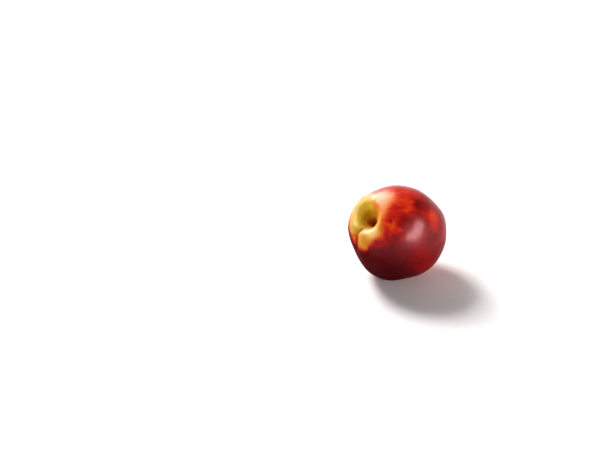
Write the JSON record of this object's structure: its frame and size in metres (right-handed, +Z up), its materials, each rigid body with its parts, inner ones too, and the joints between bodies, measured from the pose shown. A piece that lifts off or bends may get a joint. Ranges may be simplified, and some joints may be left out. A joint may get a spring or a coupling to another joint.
{
  "type": "nectarine",
  "caption": "Whole nectarine lying on its cheek: round smooth stone fruit with a deep stem cavity, a shallow suture groove and a slightly pointed tip.",
  "frame": {"origin": "the small flat spot that the fruit rests on, straight below its centre of mass", "axes": "+Z up; the stem end is raised and points toward -X and -Y; the plain cheek faces +X"},
  "size_m": [0.0683, 0.0673, 0.0692],
  "materials": {
    "skin": "smooth thin fruit skin with a soft natural gloss, crimson to maroon with a golden yellow shoulder round the stem cavity"
  },
  "bodies": {
    "root": {"nectarine": "skin"}
  },
  "joints": []
}
